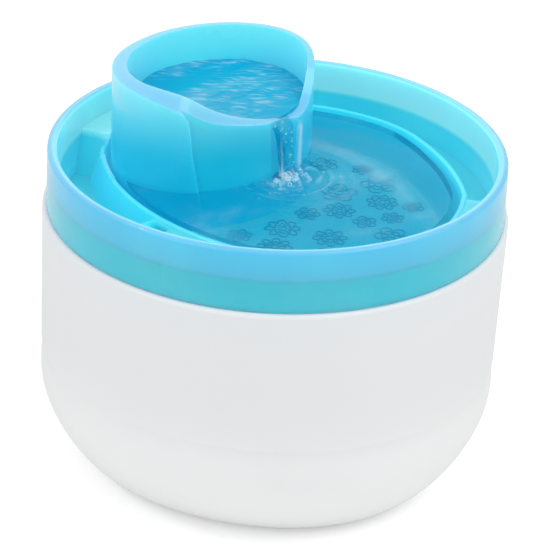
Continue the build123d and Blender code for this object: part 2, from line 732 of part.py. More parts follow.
def intake_cage():
    """Slotted cage that clips on in front of the cover and holds the sponge."""
    low = cover_front
    high = low + cage_length
    cage = disc(cover_radius, low, high) - disc(cover_radius - cage_wall, low, high - cage_wall)
    slot = prism(Pos(cover_radius, 0) * Rectangle(6, 2.4), low + 5, high - 4)
    for i in range(16):
        cage -= Rot(Z=360 * (i + 0.5) / 16) * slot
    for i in range(-2, 3):
        reach = 2 * (cover_radius - 4) - 5 * abs(i)
        cage -= Pos(0, 5.0 * i, high - 3) * extrude(SlotOverall(reach, 2.6), 5)
    return pump_place * cage


def pump_sponge():
    """Foam disc in the cage."""
    high = cover_front + cage_length - cage_wall - snug
    return pump_place * disc(cover_radius - cage_wall - snug, high - sponge_length, high)


def suction_cups():
    """Rubber suction cups whose studs push into the casing's underside."""
    stud = sucker_neck - snug
    cup = turned(
        (0, -case_wall), (stud, -case_wall), (stud, snug), (stud + 1.5, snug), (sucker_radius, pump_stand),
        (sucker_radius - 1.2, pump_stand), (stud, pump_stand - 1.6), (0, pump_stand - 1.6))
    return Compound([pump_place * place * cup for place in sucker_places()])


# ---------------------------------------------------------------- filter
def filter_basket():
    """Basket that clips into the collar under the trough, open at the top and slotted all round."""
    top = filter_top - fit
    bottom = top - filter_height
    basket = filter_block(0, bottom, top) - filter_block(-filter_wall, bottom + filter_wall, top)
    slot = Box(2 * filter_width, 2.4, filter_height - collar_drop - 10, align=UP)
    for i in range(-2, 3):
        basket -= filter_place * Pos(0, 7 * i, bottom + 4) * slot
    hole = Box(2.4, filter_length - 12, 3 * filter_wall, align=UP)
    for i in range(-1, 2):
        basket -= filter_place * Pos(5 * i, 0, bottom - filter_wall) * hole
    return basket


def filter_foam():
    """Fine foam at the bottom of the basket."""
    low = filter_top - fit - filter_height + filter_wall + snug
    return filter_block(-filter_wall - snug, low, low + foam_height)


def filter_pad():
    """Pouch of activated carbon on the foam."""
    low = filter_top - fit - filter_height + filter_wall + foam_height + 3 * snug
    high = filter_top - fit - clip_thickness - 2.0
    return round_ends(filter_block(-filter_wall - 0.4, low, high), 2.0, 0, -1)


def filter_clip():
    """Slotted lid that snaps into the basket's mouth and holds the pouch down."""
    high = filter_top - fit - 0.4
    lid = filter_block(-filter_wall - snug, high - clip_thickness, high)
    slot = extrude(SlotOverall(filter_width - 7, 3.0), 3 * clip_thickness, both=True)
    for i in range(-3, 4):
        lid -= filter_place * Pos(0, 5.2 * i, high) * slot
    return lid


PIECES = (
    reservoir_tub, tub_feet, cord_grommet, drinking_tray, fountain_cup, riser_tube, riser_seal, filter_basket,
    filter_pad, filter_foam, filter_clip, pump_housing, pump_chamber, pump_cover, flow_dial, intake_cage,
    pump_sponge, impeller_rotor, impeller_shaft, shaft_bush_front, shaft_bush_rear, stator_core, stator_coil,
    motor_potting, suction_cups,
)


def main():
    """Write one STEP file per piece."""
    os.makedirs("parts", exist_ok=True)
    for make in PIECES:
        export_step(make(), f"parts/{make.__name__}.step")


if __name__ == "__main__":
    main()
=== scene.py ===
"""Pet water fountain: finishes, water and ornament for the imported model, laid out as an add-on.

Every length is in metres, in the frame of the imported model: the floor is z = 0, -Y is the front
where the spout pours, and the round rim's axis is the Z axis.
"""

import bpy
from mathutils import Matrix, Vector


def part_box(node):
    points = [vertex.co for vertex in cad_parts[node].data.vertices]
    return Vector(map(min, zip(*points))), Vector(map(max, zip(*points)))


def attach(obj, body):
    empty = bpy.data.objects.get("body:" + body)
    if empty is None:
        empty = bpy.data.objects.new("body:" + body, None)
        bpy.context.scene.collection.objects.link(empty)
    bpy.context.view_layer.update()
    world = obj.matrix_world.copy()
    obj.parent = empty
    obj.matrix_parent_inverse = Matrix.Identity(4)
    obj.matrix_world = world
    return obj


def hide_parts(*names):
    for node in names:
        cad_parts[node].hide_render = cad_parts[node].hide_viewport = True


bl_info = {
    "name": "Pet Water Fountain",
    "version": (1, 0, 0),
    "blender": (4, 5, 0),
    "location": "3D View > Sidebar > Fountain",
    "description": "Finishes, moving water and a soft studio for a pet water fountain",
    "category": "Object",
}

import random
from math import atan2, cos, exp, hypot, pi, radians, sin

import bmesh
import bpy
from bpy.props import FloatProperty, FloatVectorProperty, IntProperty, PointerProperty
from mathutils import Matrix, Vector, noise

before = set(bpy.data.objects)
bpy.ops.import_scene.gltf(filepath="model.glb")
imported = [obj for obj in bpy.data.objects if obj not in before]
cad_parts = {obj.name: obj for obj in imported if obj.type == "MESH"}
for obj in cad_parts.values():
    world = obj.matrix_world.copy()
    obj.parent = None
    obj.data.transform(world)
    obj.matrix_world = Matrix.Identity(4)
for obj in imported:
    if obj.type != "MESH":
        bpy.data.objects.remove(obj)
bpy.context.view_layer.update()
RIM_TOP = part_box("drinking_tray")[1].z
TUB_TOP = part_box("reservoir_tub")[1].z

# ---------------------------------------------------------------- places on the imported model
BOWL_ARCS = ((0.0, 0.0, 0.0812), (0.0473, 0.0, 0.1106), (-0.0439, 0.0233, 0.1280))  # x, y, radius of the lip
BOWL_FLOOR = 0.1169
CUP_DRUM = (0.0003, 0.0403, 0.0499, 0.0389)  # x, y, half width, half depth of the cup's outside
CUP_BASIN = (0.0060, 0.0416, 0.0401, 0.0359)  # the same for the water's edge in its basin
SPOUT_X = 0.0055
OUTER_WALL = 0.0975  # radius past which the tray's wall faces outwards
BAND_STEP = (RIM_TOP - 0.0145, RIM_TOP - 0.0115)  # where the outer band changes its tint
TRAY_FADE = (RIM_TOP - 0.0155, RIM_TOP - 0.0125)  # where the tray's inner walls turn pale: painted light through the thin upper walls
CUP_FADE = (RIM_TOP - 0.006, RIM_TOP + 0.030)  # where the cup's walls turn pale: painted light through the thin upper walls
WATER_IOR = 1.33

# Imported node: name, colour and pores of its finish, depth of its lumps, body, slot, fill
SOFT_PIECES = {
    "filter_pad": ("carbon fleece", (0.10, 0.10, 0.11), 1500.0, 0.00035, "filter", "carbon_pad", 0.7),
    "filter_foam": ("filter foam", (0.05, 0.06, 0.07), 900.0, 0.0002, "filter", "foam", 0.9),
    "pump_sponge": ("pump sponge", (0.03, 0.035, 0.04), 800.0, 0.0002, "tub", "foam", 0.9),
}


# ---------------------------------------------------------------- settings
class FountainStage(bpy.types.PropertyGroup):
    """Camera, lamps and background."""

    lens: FloatProperty(
        name="Lens", description="Focal length of the camera in millimetres", default=118.96, unit="CAMERA")
    key_power: FloatProperty(
        name="Key lamp", description="Power of the large soft lamp", default=5.8, unit="POWER")
    fill_power: FloatProperty(
        name="Fill lamp", description="Power of the side lamp", default=1.8, unit="POWER")
    spark_power: FloatProperty(
        name="Small lamp", description="Power of the small lamp that lights up the rims", default=1.3,
        unit="POWER")
    world_level: FloatProperty(
        name="Surround", description="Strength of the even surround", default=0.72)


class FountainColours(bpy.types.PropertyGroup):
    """Base colours of the visible plastics and of the water."""

    shell: FloatVectorProperty(
        name="Tub", description="White of the tub", subtype="COLOR", default=(0.80, 0.81, 0.815))
    # painted shade: the deep tint low down in the tray
    deep: FloatVectorProperty(
        name="Deep blue", description="Tint low down in the tray", subtype="COLOR",
        default=(0.05, 0.61, 0.78))
    # painted light: the pale tint where light comes through the thin upper walls
    pale: FloatVectorProperty(
        name="Pale blue", description="Tint of the thin upper walls", subtype="COLOR",
        default=(0.30, 0.90, 0.88))
    band: FloatVectorProperty(
        name="Band", description="Lower half of the outer band", subtype="COLOR",
        default=(0.030, 0.62, 0.90))
    cool: FloatVectorProperty(
        name="Band top", description="Upper half of the outer band", subtype="COLOR",
        default=(0.075, 0.43, 0.73))
    edge: FloatVectorProperty(
        name="Edge sheen", description="Tint seen along the edges", subtype="COLOR",
        default=(0.26, 0.50, 0.82))
    # painted sheen: cooler tint of the up-facing rim tops
    rim_top_sheen: FloatVectorProperty(
        name="Brim", description="Cooler tint of the rolled top edges", subtype="COLOR",
        default=(0.17, 0.42, 0.76))
    # painted shade: the cup's deep tint low down
    cup_deep: FloatVectorProperty(
        name="Cup blue", description="Tint of the cup low down", subtype="COLOR",
        default=(0.003, 0.44, 0.62))
    # painted light: the pale tint of the cup's thin upper walls
    cup_pale: FloatVectorProperty(
        name="Cup pale blue", description="Tint of the cup's upper walls", subtype="COLOR",
        default=(0.20, 0.70, 0.80))
    # painted glow: emission of the thin walls, standing in for light passed through them
    glow: FloatProperty(
        name="Tray glow", description="Light that the thin inner walls pass on from outside", default=0.26)
    cup_glow: FloatProperty(
        name="Cup glow", description="Light that the thin walls of the cup pass on", default=0.20)
    water: FloatVectorProperty(
        name="Water", description="Tint of the water", subtype="COLOR", default=(0.0, 0.43, 0.70))
    glint: FloatVectorProperty(
        name="Glint", description="Tint of the light on the ripples", subtype="COLOR",
        default=(0.52, 0.80, 0.90))
    outline: FloatVectorProperty(
        name="Flower lines", description="Tint of the raised flower outlines", subtype="COLOR",
        default=(0.0, 0.33, 0.51))


class FountainWater(bpy.types.PropertyGroup):
    """Levels and movement of the water."""

    bowl_level: FloatProperty(
        name="Bowl level", description="Height of the water in the bowl", default=0.1350, unit="LENGTH")
    cup_level: FloatProperty(
        name="Cup level", description="Height of the water in the cup", default=0.1617, unit="LENGTH")
    ring_height: FloatProperty(
        name="Ring height", description="Height of the rings round the splash", default=0.00075,
        unit="LENGTH")
    ring_length: FloatProperty(
        name="Ring length", description="Distance from one ring to the next", default=0.0062,
        unit="LENGTH")
    splash_x: FloatProperty(
        name="Splash X", description="Where the stream meets the bowl's water", default=0.0062,
        unit="LENGTH")
    splash_y: FloatProperty(
        name="Splash Y", description="Where the stream meets the bowl's water", default=-0.0030,
        unit="LENGTH")
    bubbles: IntProperty(
        name="Bubbles", description="Number of bubbles round the splash", default=84)


# ---------------------------------------------------------------- shader maths
class Value:
    """A socket of a node tree. Arithmetic on it adds Math nodes."""

    def __init__(self, shader, socket):
        self.shader = shader
        self.socket = socket

    def math(self, operation, *others):
        """Result of a Math node that takes this value first."""
        return self.shader.math(operation, self, *others)

    def __add__(self, other):
        return self.math("ADD", other)

    def __mul__(self, other):
        return self.math("MULTIPLY", other)

    def __sub__(self, other):
        return self.math("SUBTRACT", other)

    def __rsub__(self, other):
        return self.shader.math("SUBTRACT", other, self)

    def __abs__(self):
        return self.math("ABSOLUTE")

    __radd__ = __add__
    __rmul__ = __mul__

    def clamp(self):
        """The value, held between 0 and 1."""
        return self.shader.node("Clamp", {}, {0: self})


class Shader:
    """The nodes of a material or of the world."""

    def __init__(self, owner, output="OutputMaterial"):
        owner.use_nodes = True
        self.owner = owner
        self.output = output
        self.tree = owner.node_tree
        self.tree.nodes.clear()

    def node(self, kind, settings=None, sockets=None, output=0):
        """Adds a node with its settings, then the values or links of its sockets."""
        node = self.tree.nodes.new("ShaderNode" + kind)
        for name, value in (settings or {}).items():
            setattr(node, name, value)
        for key, value in (sockets or {}).items():
            if isinstance(value, Value):
                self.tree.links.new(value.socket, node.inputs[key])
            else:
                node.inputs[key].default_value = value
        return Value(self, node.outputs[output]) if node.outputs else None

    def math(self, operation, *values):
        """Result of a Math node."""
        return self.node("Math", {"operation": operation}, dict(enumerate(values)))

    def place(self):
        """Place on the piece."""
        return self.node("TexCoord", {}, {}, "Object")

    def axis(self, name):
        """Place along one axis."""
        return self.node("SeparateXYZ", {}, {0: self.place()}, name)

    def plan(self):
        """Place on the floor plan, without its height."""
        return self.node("VectorMath", {"operation": "MULTIPLY"}, {0: self.place(), 1: (1, 1, 0)})

    def distance(self, place, centre=(0, 0)):
        """How far a place is from a point on the floor plan."""
        return self.node("VectorMath", {"operation": "DISTANCE"}, {0: place, 1: (*centre, 0)}, "Value")

    def grain(self, scale, detail=2.0, stretch=(1, 1, 1), turn=0.0):
        """Noise, finer along the axes with a large stretch, the whole turned about Z."""
        vector = self.node("Mapping", {"vector_type": "TEXTURE"},
                           {"Vector": self.place(), "Scale": [1 / f for f in stretch],
                            "Rotation": (0, 0, turn)})
        return self.node("TexNoise", {}, {"Vector": vector, "Scale": scale, "Detail": detail})

    def blend(self, share, first, second):
        """Colour that goes from the first to the second with the share."""
        return self.node("Mix", {"data_type": "RGBA"}, {"Factor": share, "A": first, "B": second}, "Result")

    def steps(self, value, low, high):
        """Smooth share from 0 at low to 1 at high."""
        return self.node("MapRange", {"interpolation_type": "SMOOTHSTEP"}, {0: value, 1: low, 2: high})

    def facing(self, blend):
        """Share that grows where the surface turns away from the eye, for sheen and skins."""
        return self.node("LayerWeight", {}, {"Blend": blend}, "Facing")

    def bump(self, height, strength, distance):
        """Normal of a surface with small relief."""
        return self.node("Bump", {}, {"Height": height, "Strength": strength, "Distance": distance})

    def finish(self, surface):
        """Ends the tree with a shader, and returns the material or world."""
        self.node(self.output, {}, {"Surface": surface})
        return self.owner

    def principled(self, sockets):
        """Ends the tree with a Principled shader."""
        return self.finish(self.node("BsdfPrincipled", {}, sockets))


def material(name):
    """Nodes of a new material."""
    return Shader(bpy.data.materials.new(name))


def colour(values, share=1.0):
    """Colour with its alpha, darkened to a share."""
    return (*(c * share for c in values), 1.0)


# ---------------------------------------------------------------- finishes
def moulded(name, base, roughness=0.4, coat=0.0):
    """Opaque moulded plastic or rubber with a fine grain and slight changes of tone."""
    s = material(name)
    tone = s.grain(35.0, 3.0)
    return s.principled({
        "Base Color": s.blend(s.steps(tone, 0.35, 0.65), colour(base, 0.95), colour(base)),
        "Roughness": roughness - 0.05 + 0.1 * tone, "Coat Weight": coat,
        "Normal": s.bump(s.grain(900.0), 0.3, 0.00003)})


def shell_finish(colours):
    """Satin white plastic, with a painted cool shade near the blue tray and painted light that makes it paler
    towards the foot.
    """
    s = material("white shell")
    tone = s.grain(14.0, 3.0)
    height = s.axis("Z")
    tray_painted_shade = s.steps(height, TUB_TOP - 0.040, TUB_TOP)
    foot_painted_light = s.steps(height, 0.085, 0.020)
    paler = [min(c * 1.12, 0.9) for c in colours.shell]
    # painted light: the white turns paler towards the foot
    base = s.blend(foot_painted_light, colour(colours.shell), colour(paler))
    # painted shade: cooler and darker near the blue tray
    base = s.blend(tray_painted_shade * 0.5, base, colour((0.76, 0.83, 0.87)))
    base = s.blend(s.steps(tone, 0.45, 0.75) * 0.25, base, colour(colours.shell, 0.97))
    return s.principled({
        "Base Color": base, "Roughness": 0.34 + 0.08 * tone, "Coat Weight": 0.12, "Coat Roughness": 0.2,
        "Subsurface Weight": 0.15, "Subsurface Scale": 0.004, "Subsurface Radius": (1.0, 1.0, 1.0),
        "Normal": s.bump(s.grain(1400.0), 0.25, 0.00002)})


def blue_finish(name, colours, deep, pale, glow, fade):
    """Tinted see-through plastic, cooler on the outer band: deep cyan low down as painted shade, paler near
    the top edge as painted light.

    A painted glow stands in for the light that the thin inner walls pass on from the outside; painted sheen
    tints the rim tops and edges.
    """
    s = material(name)
    height = s.axis("Z")
    outer = s.steps(s.distance(s.plan()), OUTER_WALL, OUTER_WALL + 0.0015)
    # painted shade low down and painted light near the top edge
    inner_painted_light_and_shade = s.blend(s.steps(height, *fade), colour(deep), colour(pale))
    outer_tint = s.blend(s.steps(height, *BAND_STEP), colour(colours.band), colour(colours.cool))
    base = s.blend(outer, inner_painted_light_and_shade, outer_tint)
    # painted sheen on the up-facing tops of the rims
    upwards = s.node("SeparateXYZ", {}, {0: s.node("NewGeometry", {}, {}, "Normal")}, "Z")
    rim_top_sheen = s.steps(height, RIM_TOP - 0.0016, RIM_TOP - 0.0004) * s.steps(upwards, 0.35, 0.85)
    base = s.blend(rim_top_sheen * 0.7, base, colour(colours.rim_top_sheen))
    cloud = s.grain(22.0, 3.0)
    base = s.blend(s.steps(cloud, 0.4, 0.7) * 0.08, base, colour(pale))
    base = s.blend(s.facing(0.18) * 0.32, base, colour(colours.edge))
    return s.principled({
        "Base Color": base, "Roughness": 0.22 + 0.08 * cloud, "IOR": 1.46, "Specular IOR Level": 0.35,
        "Subsurface Weight": 0.85, "Subsurface Scale": 0.016, "Subsurface Radius": (0.35, 0.9, 1.0),
        "Coat Weight": 0.45, "Coat Roughness": 0.05,
        # painted glow: emission on the inner walls, dimmer on the outer band
        "Emission Color": s.blend(outer, base, colour(colours.cool, 0.35)), "Emission Strength": glow,
        "Normal": s.bump(s.grain(160.0), 0.06, 0.0001)})


def water_finish(name, colours, film, ripple, level=0.0, splash=None, arc=None, streaks=0.0,
                 flow=(1.3, 5.5, 1.0)):
    """Tinted water: its surface is seen through, and it has no colour below.

    Light gathers in rings round the splash, along the arc and in streaks along the flow.
    """
    s = material(name)
    waves = s.grain(120.0, 3.0, (1.0, 2.2, 1.0))
    slow = s.grain(26.0, 3.0, (1.0, 1.6, 1.0))
    normal = s.bump(waves, ripple, 0.0006)
    light = s.steps(slow, 0.50, 0.72) * 0.22
    if splash:
        away = s.distance(s.plan(), splash)
        phase = away * (2 * pi / 0.0050) + waves * 5.0
        ring = s.steps(phase.math("COSINE"), -0.3, 1.0)
        light = light + ring * s.steps(away, 0.036, 0.0) * s.steps(waves, 0.36, 0.60) * 0.50
    if arc:
        centre, radius, width = arc
        off = abs(s.distance(s.plan(), centre) - radius + slow * 0.010 - 0.005)
        light = light + s.steps(off, width, 0.0) * s.steps(s.axis("X"), 0.010, 0.034) * 0.28
    if streaks:
        lines = s.grain(95.0, 3.0, flow, radians(-47))
        light = light + s.steps(lines, 0.48, 0.70) * s.steps(slow, 0.36, 0.56) * streaks
    light = light.clamp()
    surface = s.steps(s.axis("Z"), level - 0.0030, level - 0.0018)
    edge = s.node("Fresnel", {}, {"IOR": WATER_IOR, "Normal": normal})
    return s.principled({
        "Base Color": s.blend(light, colour(colours.water), colour(colours.glint)),
        "Roughness": 0.04, "IOR": WATER_IOR, "Normal": normal, "Specular IOR Level": 0.25,
        "Alpha": ((edge + light * 0.40 + film) * surface).clamp()})


def film_highlight_finish(colours, middle, half):
    """Thin pale film of water that fades out to both sides, its pale glowing tint a painted highlight on the
    cup's wall.
    """
    s = material("wet film")
    off = abs(s.axis("X") - middle)
    run = s.grain(500.0, 2.0, (3.0, 3.0, 0.12))
    # painted highlight: pale, glowing streaks of the film
    skin = s.blend(run, colour(colours.glint), colour((0.85, 0.95, 1.0)))
    return s.principled({
        "Base Color": skin, "Roughness": 0.08, "IOR": WATER_IOR,
        "Emission Color": skin, "Emission Strength": 0.2,
        "Alpha": s.steps(off, half, 0.0) * s.steps(s.axis("Z"), 0.1585, 0.1520) * 0.42})


def bubble_finish(colours):
    """Thin skins of water: clear in the middle, with a painted glowing highlight round the edge."""
    s = material("bubbles")
    rim = s.facing(0.35)
    # painted highlight: the edge turns white and glows
    skin = s.blend(rim, colour(colours.glint), colour((0.88, 0.97, 1.0)))
    return s.principled({
        "Base Color": skin, "Roughness": 0.03, "IOR": WATER_IOR,
        "Emission Color": skin, "Emission Strength": 0.4, "Alpha": (rim * 0.6 + 0.03).clamp()})


def clear_finish(name, tint):
    """Clear tube with slight clouds."""
    s = material(name)
    cloud = s.grain(60.0)
    return s.principled({
        "Base Color": s.blend(s.steps(cloud, 0.4, 0.7), colour(tint), colour(tint, 0.94)),
        "Roughness": 0.08 + 0.05 * cloud, "IOR": 1.45, "Transmission Weight": 0.85, "Coat Weight": 0.2})


def foam_finish(name, base, pores):
    """Open-cell foam or fleece: small pores, darkened by painted shade in their hollows."""
    s = material(name)
    cells = s.node("TexVoronoi", {"feature": "F1"}, {"Vector": s.place(), "Scale": pores}, "Distance")
    # painted shade: the pores darken to a quarter of the base colour
    share = s.steps(cells, 0.15, 0.6)
    return s.principled({
        "Base Color": s.blend(share, colour(base, 0.25), colour(base)), "Roughness": 0.95,
        "Normal": s.bump(share, 0.8, 0.0005)})


def metal_finish(name, base, lines, roughness, metallic=1.0):
    """Metal with fine lines across it, for laminations or wire turns."""
    s = material(name)
    tone = s.grain(80.0, 3.0)
    along = s.node("TexWave", {"wave_type": "BANDS", "bands_direction": "Y"},
                   {"Vector": s.place(), "Scale": lines}, "Fac")
    return s.principled({
        "Base Color": s.blend(s.steps(tone, 0.3, 0.7), colour(base, 0.85), colour(base)),
        "Roughness": roughness + 0.1 * tone, "Metallic": metallic, "Normal": s.bump(along, 0.5, 0.0002)})


def floor_finish():
    """White floor that takes the object's shadow and runs into the background far out."""
    s = material("floor")
    cloud = s.grain(3.0)
    white = s.node("BsdfDiffuse", {}, {
        "Color": s.blend(cloud, colour((0.93, 0.93, 0.93)), colour((0.95, 0.95, 0.95)))})
    far_out = s.steps(s.distance(s.place()), 0.22, 0.80)
    tint = s.blend(far_out, colour((0.26, 0.26, 0.26)), colour((0.50, 0.50, 0.50)))
    both = s.node("AddShader", {}, {0: white, 1: s.node("Emission", {}, {"Color": tint, "Strength": 1.0})})
    seen = s.node("LightPath", {}, {}, "Is Camera Ray")
    return s.finish(s.node("MixShader", {}, {0: seen, 1: white, 2: both}))


def surround_finish(level):
    """World that lights at a level, and is white to the eye, in reflections and through clear pieces."""
    s = Shader(bpy.data.worlds.new("surround"), "OutputWorld")
    camera, glossy, through = (
        s.node("LightPath", {}, {}, f"Is {ray} Ray") for ray in ("Camera", "Glossy", "Transmission"))
    seen = camera.math("MAXIMUM", glossy.math("MAXIMUM", through))
    strength = s.node("MapRange", {}, {"Value": seen, "To Min": level, "To Max": 1.0})
    return s.finish(s.node("Background", {}, {"Color": (1, 1, 1, 1), "Strength": strength}))


# ---------------------------------------------------------------- mesh helpers
def add_object(name, data):
    """New object in the scene."""
    added = bpy.data.objects.new(name, data)
    bpy.context.scene.collection.objects.link(added)
    return added


def mesh_object(name, bm):
    """Turns a bmesh into an object."""
    mesh = bpy.data.meshes.new(name)
    bm.to_mesh(mesh)
    bm.free()
    return add_object(name, mesh)


def make_piece(name, bm, finish, body, smooth=True):
    """Turns a bmesh into a piece that rides on a body."""
    bmesh.ops.recalc_face_normals(bm, faces=bm.faces)
    piece = mesh_object(name, bm)
    piece.data.materials.append(finish)
    if smooth:
        piece.data.shade_smooth()
        piece.data.set_sharp_from_angle(angle=radians(50))
    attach(piece, body)
    return piece


def oval_block(x, y, half_width, half_depth, bottom, top, sides, shrink=0.0):
    """Upright block with an oval plan, narrower all round at its foot by shrink, used for cutting."""
    bm = bmesh.new()
    place = Matrix.Translation((x, y, (bottom + top) / 2))
    place @= Matrix.Diagonal((half_width, half_depth, 1, 1))
    bmesh.ops.create_cone(bm, cap_ends=True, segments=sides, radius1=1 - shrink / half_width, radius2=1,
                          depth=top - bottom, matrix=place)
    return mesh_object("cutter", bm)


def swept(bm, stations, sides):
    """Closed body through a row of oval sections, each given as (middle, half width, half depth)."""
    frames = []
    for i, (middle, half_width, half_depth) in enumerate(stations):
        after, before = stations[min(i + 1, len(stations) - 1)], stations[max(i - 1, 0)]
        ahead = (Vector(after[0]) - Vector(before[0])).normalized()
        across = Vector((1, 0, 0))
        turn = Matrix((across, ahead.cross(across), ahead)).transposed().to_4x4()
        frames.append(Matrix.Translation(middle) @ turn @ Matrix.Diagonal((half_width, half_depth, 1, 1)))
    ring = bmesh.ops.create_circle(bm, cap_ends=True, segments=sides, radius=1, matrix=frames[0])["verts"]
    for before, after in zip(frames, frames[1:]):
        cap = [f for f in bm.faces if set(f.verts) == set(ring)]
        grown = bmesh.ops.extrude_face_region(bm, geom=cap)["geom"]
        ring = [g for g in grown if isinstance(g, bmesh.types.BMVert)]
        bmesh.ops.transform(bm, matrix=after @ before.inverted(), verts=ring)
        if before is not frames[0]:
            bmesh.ops.delete(bm, geom=[f for f in cap if f.is_valid], context="FACES")


def rippled_slab(low, high, bottom, level, height_at, cell):
    """Closed slab whose top is a grid of small cells, moved up and down by height_at(x, y)."""
    bm = bmesh.new()
    size = high - low
    across = [max(2, round(side / cell)) for side in size]
    place = Matrix.Translation((*((low + high) / 2), level))
    place @= Matrix.Diagonal((size.x / 2, size.y / 2, 1, 1))
    bmesh.ops.create_grid(bm, x_segments=across[0], y_segments=across[1], size=1, matrix=place)
    skirt = bmesh.ops.extrude_edge_only(bm, edges=[e for e in bm.edges if e.is_boundary])["geom"]
    foot = [g for g in skirt if isinstance(g, bmesh.types.BMVert)]
    top = set(bm.verts) - set(foot)
    for v in foot:
        v.co.z = bottom
    bmesh.ops.contextual_create(bm, geom=[g for g in skirt if isinstance(g, bmesh.types.BMEdge)])
    for v in top:
        v.co.z = level + height_at(v.co.x, v.co.y)
    bmesh.ops.recalc_face_normals(bm, faces=bm.faces)
    return mesh_object("slab", bm)


def carve(base, cutters=()):
    """Applies an object's modifiers and the cutters, given as (operation, object), and returns a bmesh."""
    for operation, cutter in cutters:
        modifier = base.modifiers.new("carve", "BOOLEAN")
        modifier.operation = operation
        modifier.object = cutter
        modifier.solver = "EXACT"
    bpy.context.view_layer.update()
    evaluated = base.evaluated_get(bpy.context.evaluated_depsgraph_get())
    bm = bmesh.new()
    bm.from_mesh(evaluated.to_mesh())
    evaluated.to_mesh_clear()
    for used in (base, *(cutter for _, cutter in cutters)):
        bpy.data.objects.remove(used)
    bmesh.ops.remove_doubles(bm, verts=bm.verts, dist=1e-6)
    return bm


# ---------------------------------------------------------------- operators
class FOUNTAIN_OT_finishes(bpy.types.Operator):
    """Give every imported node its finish"""

    bl_idname = "fountain.finishes"
    bl_label = "Finishes"

    def execute(self, context):
        colours = context.scene.fountain_colours
        rubber = moulded("grey rubber", (0.09, 0.10, 0.11), 0.75)
        pump = moulded("pump plastic", (0.012, 0.013, 0.015), 0.45)
        finishes = {
            "reservoir_tub": shell_finish(colours),
            "drinking_tray": blue_finish(
                "blue tray", colours, colours.deep, colours.pale, colours.glow, TRAY_FADE),
            "fountain_cup": blue_finish(
                "blue cup", colours, colours.cup_deep, colours.cup_pale, colours.cup_glow, CUP_FADE),
            "tub_feet": rubber, "cord_grommet": rubber, "suction_cups": rubber,
            "shaft_bush_front": rubber, "shaft_bush_rear": rubber,
            "riser_tube": clear_finish("clear tube", (0.85, 0.90, 0.92)),
            "riser_seal": moulded("silicone", (0.70, 0.72, 0.72), 0.55),
            "filter_basket": moulded("filter plastic", (0.78, 0.80, 0.81), 0.42),
            "filter_clip": moulded("filter clip plastic", (0.70, 0.78, 0.82), 0.38),
            "pump_housing": pump, "pump_chamber": pump, "pump_cover": pump, "intake_cage": pump,
            "flow_dial": moulded("dial plastic", (0.45, 0.48, 0.50)),
            "impeller_rotor": moulded("rotor plastic", (0.03, 0.03, 0.035)),
            "impeller_shaft": moulded("shaft ceramic", (0.85, 0.83, 0.78), 0.15, 0.5),
            "stator_core": metal_finish("core iron", (0.40, 0.41, 0.43), 2000.0, 0.45),
            "stator_coil": metal_finish("coil wire", (0.50, 0.20, 0.06), 2600.0, 0.30, 0.7),
            "motor_potting": moulded("potting resin", (0.012, 0.012, 0.014), 0.25, 0.3),
        }
        missing = set(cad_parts) - set(finishes) - set(SOFT_PIECES)
        if missing:
            raise RuntimeError(f"no finish for {sorted(missing)}")
        for node, finish in finishes.items():
            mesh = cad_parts[node].data
            mesh.materials.clear()
            mesh.materials.append(finish)
        return {"FINISHED"}


class FOUNTAIN_OT_soft_filters(bpy.types.Operator):
    """Turn the filter pad, the filter foam and the pump's sponge into soft pieces"""

    bl_idname = "fountain.soft_filters"
    bl_label = "Soft filters"

    voxel = 0.0009
    smoothing, smoothing_rounds = 0.5, 5
    lump_scale = 420

    def execute(self, context):
        for node, (name, base, pores, lumps, body, slot, fill) in SOFT_PIECES.items():
            bm = self.soften(node, lumps)
            piece = make_piece(f"{node}_soft", bm, foam_finish(name, base, pores), body)
            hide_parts(node)
        return {"FINISHED"}

    def soften(self, node, lumps):
        """Rounded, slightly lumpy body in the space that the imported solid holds."""
        source = add_object("source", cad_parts[node].data.copy())
        weld = source.modifiers.new("weld", "WELD")
        weld.merge_threshold = 1e-6
        remesh = source.modifiers.new("remesh", "REMESH")
        remesh.mode = "VOXEL"
        remesh.voxel_size = self.voxel
        smooth = source.modifiers.new("smooth", "SMOOTH")
        smooth.factor = self.smoothing
        smooth.iterations = self.smoothing_rounds
        bm = carve(source)
        bm.normal_update()
        for v in bm.verts:
            v.co -= v.normal * lumps * (0.6 + 0.6 * noise.noise(v.co * self.lump_scale))
        return bm


